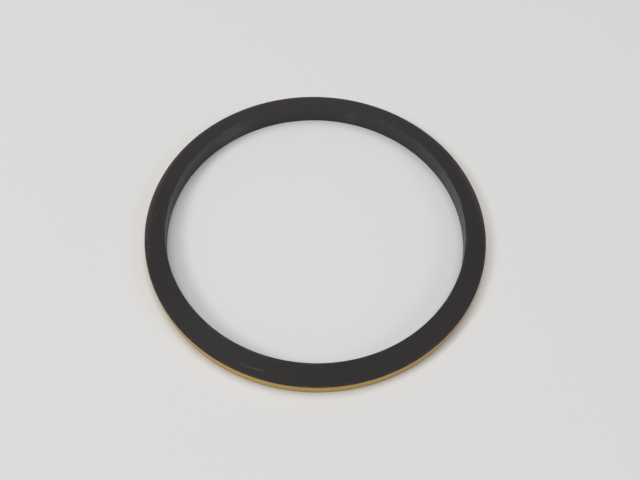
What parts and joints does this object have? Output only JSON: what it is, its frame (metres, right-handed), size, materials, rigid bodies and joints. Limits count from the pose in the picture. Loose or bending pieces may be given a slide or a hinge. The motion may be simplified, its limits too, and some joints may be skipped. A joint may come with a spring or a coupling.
{
  "type": "bevelled o-ring",
  "caption": "Black rubber sealing ring with a straight bore, a top face bevelled down to a lower outer wall and a thin tan band round that wall, squeezed round a spigot to seal its joint.",
  "frame": {"origin": "on the ring's axis, in the plane of the face it lies on", "axes": "+Z along the ring's axis, away from the face it lies on; X and Y lie in that face, and the ring is the same all round"},
  "size_m": [0.0754, 0.0754, 0.0051],
  "materials": {
    "black_rubber": "moulded black rubber, satin, faintly dusty",
    "tan_band": "thin tan coat, matt"
  },
  "bodies": {
    "root": {"seal_ring": "black_rubber", "outer_band": "tan_band"}
  },
  "joints": []
}
